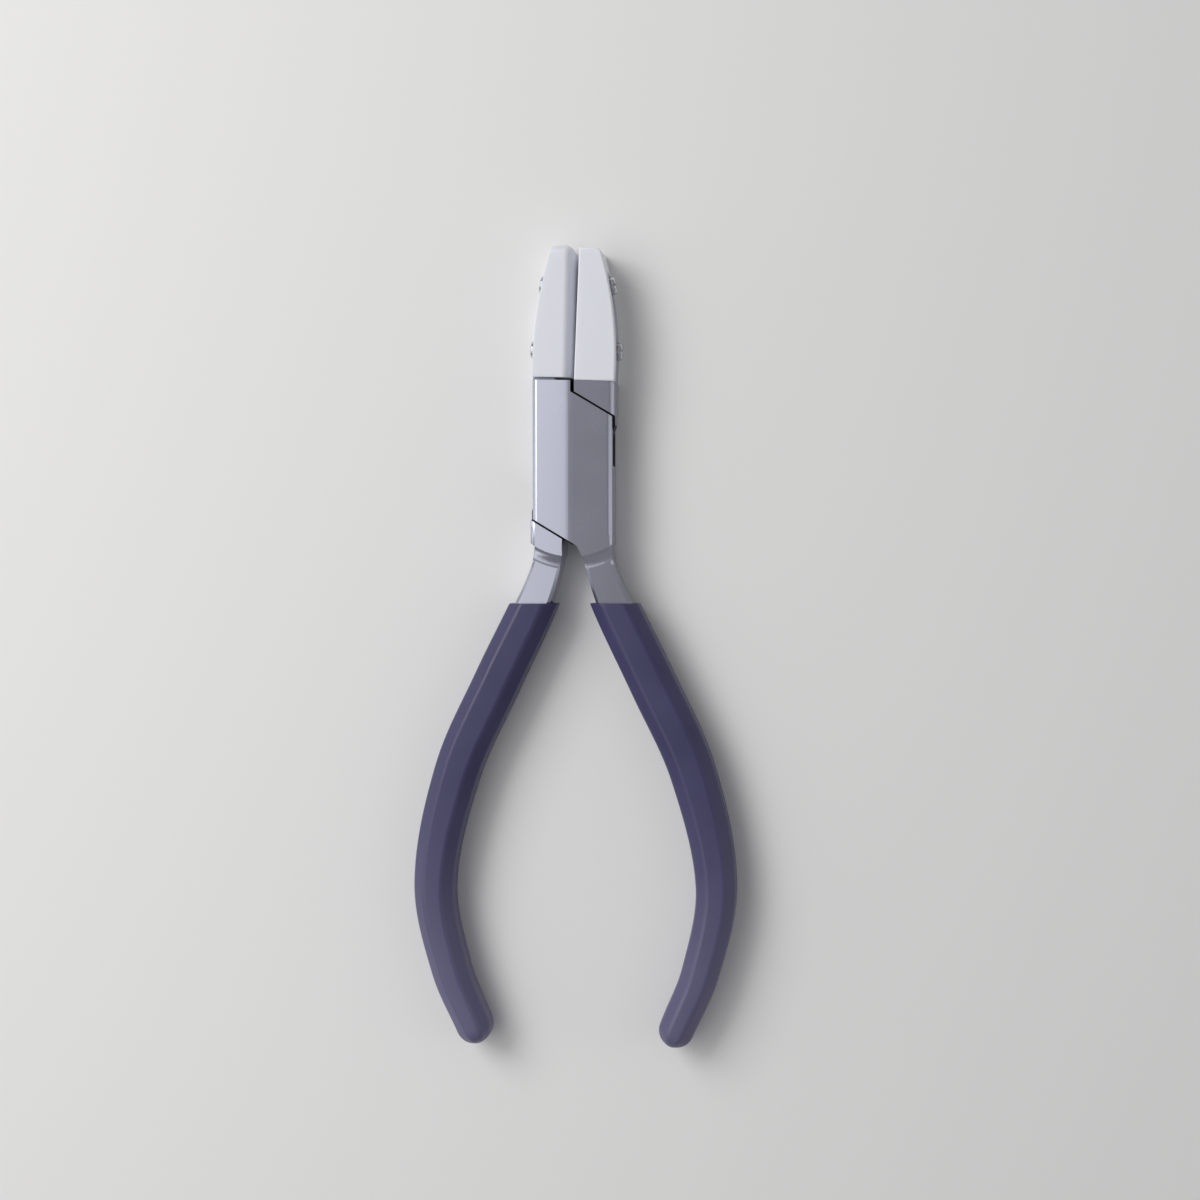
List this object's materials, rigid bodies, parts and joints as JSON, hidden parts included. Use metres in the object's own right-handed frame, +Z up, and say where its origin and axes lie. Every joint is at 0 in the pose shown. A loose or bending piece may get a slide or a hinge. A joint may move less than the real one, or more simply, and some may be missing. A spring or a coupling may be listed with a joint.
{
  "type": "nylon-jaw pliers",
  "caption": "Slim box-joint hand pliers with a half-round and a flat white nylon jaw shoe screwed to steel tangs, and bowed steel handles in dipped grips.",
  "frame": {"origin": "on the pivot axis, in the plane that the tool lies on: the flush rivet's underside", "axes": "+Y from the pivot towards the jaw tips, with the handles along -Y; +Z up the pivot axis, through the tool's thickness; +X to the side of the flat jaw and of the box lever's handle"},
  "size_m": [0.0592, 0.1455, 0.0092],
  "materials": {
    "lever_steel": "satin-ground forged steel",
    "rivet_steel": "ground flush with the cheeks",
    "nylon": "moulded nylon, fine satin",
    "grip_vinyl": "dipped vinyl, soft satin",
    "screw_steel": "plated machine screw"
  },
  "bodies": {
    "box_body": {"box_lever": "lever_steel", "joint_rivet": "rivet_steel", "round_shoe": "nylon", "box_grip": "grip_vinyl", "round_jaw_lower_screw": "screw_steel", "round_jaw_upper_screw": "screw_steel"},
    "tongue_body": {"tongue_lever": "lever_steel", "flat_shoe": "nylon", "tongue_grip": "grip_vinyl", "flat_jaw_lower_screw": "screw_steel", "flat_jaw_upper_screw": "screw_steel"}
  },
  "joints": [
    {"name": "pivot", "type": "hinge", "parent": "box_body", "child": "tongue_body", "pos_m": [0, 0, 0.0046], "axis": [0, 0, -1], "range_deg": [-1, 28]}
  ]
}
